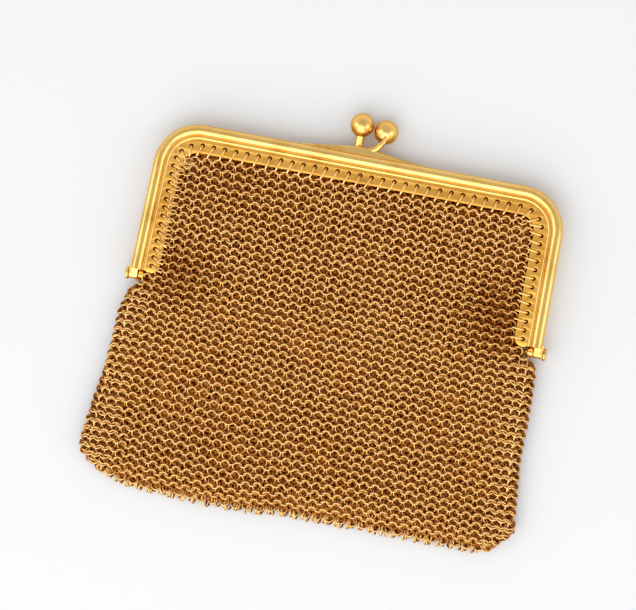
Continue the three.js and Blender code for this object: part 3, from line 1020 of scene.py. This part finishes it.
def gilt_wire():
    """Drawn wire, gilded, with painted shade: darker low between the rings and lighter where they stand
    out, partly rubbing wear and partly a painted highlight on top.
    """
    material, tree, shader = new_material("gilt_drawn_wire")
    place = add_node(tree, "ShaderNodeNewGeometry").outputs["Position"]
    raised = add_node(tree, "ShaderNodeAttribute", {"attribute_name": "raised"})
    patch = add_node(
        tree,
        "ShaderNodeTexNoise",
        links={"Vector": place, "Scale": 1 / (3 * MM), "Detail": 6.0, "Roughness": 0.7},
    )
    # Painted shade and highlight: the colour follows how far each point of a ring stands out, plus
    # noise in its tone.
    wear_and_shade = add_node(
        tree,
        "ShaderNodeMath",
        {"operation": "MULTIPLY_ADD"},
        {0: patch.outputs["Fac"], 1: 1.6, 2: raised.outputs["Fac"]},
    )
    # Painted shade: each patch darkens the wire towards its middle.
    for dark_x, dark_y, reach, loss in DARKENED_PATCHES:
        away = add_node(
            tree,
            "ShaderNodeVectorMath",
            {"operation": "DISTANCE"},
            {0: place, 1: (FRAME_X + dark_x, HINGE_Y + dark_y, PARTING_Z)},
        )
        tone_patch = add_node(
            tree,
            "ShaderNodeMapRange",
            {"interpolation_type": "SMOOTHSTEP"},
            {"Value": away.outputs["Value"], "From Max": reach, "To Min": loss, "To Max": 0.0},
        )
        wear_and_shade = add_node(
            tree,
            "ShaderNodeMath",
            {"operation": "SUBTRACT"},
            {0: wear_and_shade.outputs[0], 1: tone_patch.outputs["Result"]},
        )
    level = add_node(
        tree, "ShaderNodeMapRange", links={"Value": wear_and_shade.outputs[0], "From Min": -0.4, "From Max": 1.7}
    )
    ramp = add_node(tree, "ShaderNodeValToRGB", links={"Fac": level.outputs["Result"]})
    ramp.color_ramp.elements[0].color = linear("9A5A20")
    ramp.color_ramp.elements[1].color = linear("EEC27C")
    ramp.color_ramp.elements.new(0.5).color = linear("D49E52")
    tree.links.new(ramp.outputs["Color"], shader.inputs["Base Color"])
    shader.inputs["Metallic"].default_value = 1.0
    shader.inputs["Roughness"].default_value = 0.4
    shader.inputs["Specular Tint"].default_value = linear("D8A468")
    return material


wire_finish = gilt_wire()
front_rings, back_rings = bag_rings()
bands = [
    ("mesh_front_upper", front_rings, 1, 0, 3, 14, 5),
    ("mesh_front_middle", front_rings, 1, 1, 3, 14, 5),
    ("mesh_front_lower", front_rings, 1, 2, 3, 14, 5),
    ("mesh_back_upper", back_rings, -1, 0, 2, 10, 5),
    ("mesh_back_lower", back_rings, -1, 1, 2, 10, 5),
]
for name, rings, face, part, parts, turns, sides in bands:
    share = rings[part * len(rings) // parts : (part + 1) * len(rings) // parts]
    dress(ring_mesh(name, share, face, turns, sides), wire_finish, "gilt_mesh", "mesh_bag")

# Inner side of the mesh
# The inner halves of the rings crowd together behind the outer ones. They are drawn as a thin dark web
# just under the rings of each face, painted shade that fills the gaps between the rings, with a network
# of raised, brighter wires.

WEB_DEPTH = 1.12 * MM
WEB_THICKNESS = 0.06 * MM
UNDER_FLANGE = 0.3 * MM
LOBE_ROOM = 33.1 * MM
WEB_SHORT = 0.3 * MM
WEB_BELOW = 0.85 * MM
WEB_CELL = 0.8 * MM


def web_end(y, side):
    """Where a row of the web ends at a side, once the row hangs as low as the hem there."""
    end = side_edge(y, side) - side * WEB_SHORT
    return side_edge(y + hem_wave(end, y), side) - side * WEB_SHORT


def web(name, face):
    rows, columns = 60, 44
    grid = []
    inside = FLANGE_INSET - UNDER_FLANGE
    top = HINGE_Y + FRAME_DROP - inside
    shoulder = HINGE_Y + FIRST_ROW - (ROWS_TO_HINGE - 0.5) * ROW_PITCH
    for row in range(rows + 1):
        y = top + (last_row - WEB_BELOW - top) * row / rows
        if y > shoulder:
            room = FRAME_WIDTH / 2 - max(y - HINGE_Y, 0) * math.tan(LEG_SPLAY) - inside
            round_corner = CORNER_RADIUS - inside
            rise = max(y - HINGE_Y - corner_y, 0)
            room -= round_corner - math.sqrt(max(round_corner ** 2 - rise ** 2, 0))
            if y < HINGE_Y + UNDER_LOBE[0]:
                room = LOBE_ROOM
            ends = (FRAME_X - room, FRAME_X + room)
        else:
            ends = [web_end(y, side) for side in (-1, 1)]
        line = []
        for column in range(columns + 1):
            x = ends[0] + (ends[1] - ends[0]) * column / columns
            wave = hem_wave(x, y)
            height_at = flat_height if y > shoulder else face_height
            high = height_at(x, y + wave, 1)
            low = height_at(x, y + wave, -1)
            if high is None or low is None:
                high = low = grid[-1][column].z
            middle = (high + low) / 2 + face * WEB_THICKNESS
            z = max(high - WEB_DEPTH, middle) if face > 0 else min(low + WEB_DEPTH, middle)
            line.append(Vector((x, y + wave, z)))
        grid.append(line)
    count = columns + 1
    faces = [
        (r * count + c, (r + 1) * count + c, (r + 1) * count + c + 1, r * count + c + 1)
        for r in range(rows)
        for c in range(columns)
    ]
    piece = mesh_object(name, [point for line in grid for point in line], faces)
    solidify = piece.modifiers.new("thickness", "SOLIDIFY")
    solidify.thickness = WEB_THICKNESS
    return piece


# A dark sheet of painted shade in the gaps between the rings, crossed by lighter lines for the inner
# wires.
inner_shade_web_finish, tree, shader = new_material("inner_rings_painted_shade")
place = add_node(tree, "ShaderNodeNewGeometry").outputs["Position"]
knots = add_node(
    tree,
    "ShaderNodeTexVoronoi",
    {"feature": "DISTANCE_TO_EDGE"},
    {"Vector": place, "Scale": 1 / WEB_CELL, "Randomness": 0.8},
)
shade = add_node(tree, "ShaderNodeValToRGB", links={"Fac": knots.outputs["Distance"]})
shade.color_ramp.elements[0].color = linear("C4863E")
shade.color_ramp.elements[1].position = 0.3
shade.color_ramp.elements[1].color = linear("4C1C06")
shade.color_ramp.elements.new(0.12).color = linear("8E4C18")
tree.links.new(shade.outputs["Color"], shader.inputs["Base Color"])
shader.inputs["Metallic"].default_value = 1.0
shader.inputs["Roughness"].default_value = 0.5
shader.inputs["Specular Tint"].default_value = linear("A86A28")
relief = add_node(
    tree,
    "ShaderNodeBump",
    {"invert": True},
    {"Height": knots.outputs["Distance"], "Strength": 0.6, "Distance": 0.3 * MM},
)
tree.links.new(relief.outputs["Normal"], shader.inputs["Normal"])
dress(web("inner_web_front", 1), inner_shade_web_finish, "gilt_mesh", "mesh_bag")
dress(web("inner_web_back", -1), inner_shade_web_finish, "gilt_mesh", "mesh_bag")

# Links
# One long wire link in each hole of the flanges carries the mesh. It runs over the flange's inner
# edge, slants to the next ring of the mesh and comes back underneath.

LINK_WIRE = 0.17 * MM
LINK_REACH = 2.15 * MM
LINK_RISE = FLANGE_THICKNESS / 2 + LINK_WIRE + 0.06 * MM
SLANT_LEFT_LEG = math.radians(24)
SLANT_TOP = math.radians(19)
SLANT_RIGHT_LEG = math.radians(3)


def link_rings(place, inward, half, turns=16, sides=6):
    """Sections of one link: a long loop that stands on edge through its hole."""
    middle = place + inward * (LINK_REACH / 2)
    rings = []
    for k in range(turns):
        turn = 2 * math.pi * k / turns
        along = math.copysign(abs(math.cos(turn)) ** 0.75, math.cos(turn)) * LINK_REACH / 2
        rise = math.copysign(abs(math.sin(turn)) ** 0.75, math.sin(turn)) * LINK_RISE
        rings.append((along, rise))
    points = []
    for k, (along, rise) in enumerate(rings):
        ahead = rings[(k + 1) % turns]
        behind = rings[k - 1]
        out = Vector((ahead[1] - behind[1], behind[0] - ahead[0])).normalized()
        for s in range(sides):
            t = 2 * math.pi * s / sides
            a = along + out.x * math.cos(t) * LINK_WIRE
            h = rise + out.y * math.cos(t) * LINK_WIRE
            spot = middle + inward * a + Vector((-inward.y, inward.x)) * math.sin(t) * LINK_WIRE
            points.append(in_frame(spot.x, spot.y, FLANGE_HEIGHT + h, half))
    return points


def links(name, half):
    turns, sides = 16, 6
    vertices, faces = [], []
    runs = hole_runs()
    whole = runs[-1]
    for side, run in [(1, 0)] + [(side, run) for run in runs for side in (-1, 1)]:
        hole = hole_place(run, side)
        ahead = hole_place(run + 0.01 * MM, side) - hole
        inward = Vector((ahead.y, -ahead.x)).normalized() * side
        share = side * run / whole
        slant = np.interp(
            share, [-1, -0.6, 0.5, 1], [SLANT_LEFT_LEG, SLANT_TOP, SLANT_TOP, SLANT_RIGHT_LEG]
        )
        slant = float(slant) * half + random_source.normal(0, math.radians(3))
        inward = Vector((
            inward.x * math.cos(slant) + inward.y * math.sin(slant),
            inward.y * math.cos(slant) - inward.x * math.sin(slant),
        ))
        base = len(vertices)
        vertices += link_rings(hole, inward, half, turns, sides)
        for k in range(turns):
            for s in range(sides):
                a = base + k * sides + s
                b = base + k * sides + (s + 1) % sides
                c = base + (k + 1) % turns * sides
                faces.append((a, b, c + (s + 1) % sides, c + s))
    return mesh_object(name, vertices, faces)


link_gilt = gilt_brass("gilt_link_wire", "FBD288", "FFDC98", "EAB966", 0.25, 0.3, 0.05)
for side_name, half in HALVES.items():
    piece = links(side_name + "_links", half)
    face_outwards(piece)
    dress(piece, link_gilt, "gilt_mesh", "mesh_bag")

# Hem
# Front and back are closed along the hem by pairs of rings that stand on edge, one pair at each
# column. They stick out as a ragged fringe.


HEM_PITCH = 1.95 * MM
HEM_RISE = 3.2 * MM
HEM_PROUD = 0.3 * MM
HEM_SPREAD = 0.34 * MM
HEM_LEAN = 0.24
TWIN_TURN = 0.14


def hem_line():
    """Places along the hem's edge from left to right, round both lower corners."""
    places = []
    for x, y in zip(hem_across, hem_edges):
        if y < flat_hem + HEM_RISE:
            places.append(Vector((x, y, 0)))
    return places


def hem_rings():
    rings = []
    line = hem_line()
    length = along_section(line, None)
    count = round(length / HEM_PITCH)
    for number in range(count + 1):
        distance = length * number / count
        edge = along_section(line, distance)
        before = along_section(line, max(distance - MM, 0))
        run = along_section(line, min(distance + MM, length)) - before
        outward = Vector((run.y, -run.x, 0)).normalized()
        lean = random_source.normal(0, HEM_LEAN)
        for twin in (-1, 0, 1):
            swing = random_source.normal(0, 1, 4)
            turn = Matrix.Rotation(lean + twin * TWIN_TURN + swing[0] * RING_TILT, 3, "Z")
            along = (turn @ -outward + Vector((0, 0, 0.15 * swing[1]))).normalized()
            axis = turn @ Vector((-outward.y, outward.x, 0)) + Vector((0, 0, 0.3 + 0.25 * swing[2]))
            across = along.cross(axis).normalized()
            axis = across.cross(along)
            centre = edge - outward * (RING_RADIUS + WIRE_RADIUS - HEM_PROUD * (1 - abs(swing[3])))
            centre += Vector((-outward.y, outward.x, 0)) * twin * HEM_SPREAD
            centre.z = RING_RADIUS * math.sqrt(1 - axis.z ** 2) + WIRE_RADIUS + 1.5 * CLEARANCE
            rings.append((centre, across, along, axis))
    return rings


dress(ring_mesh("hem_fringe", hem_rings(), 1, 14, 6), wire_finish, "gilt_mesh", "mesh_bag")
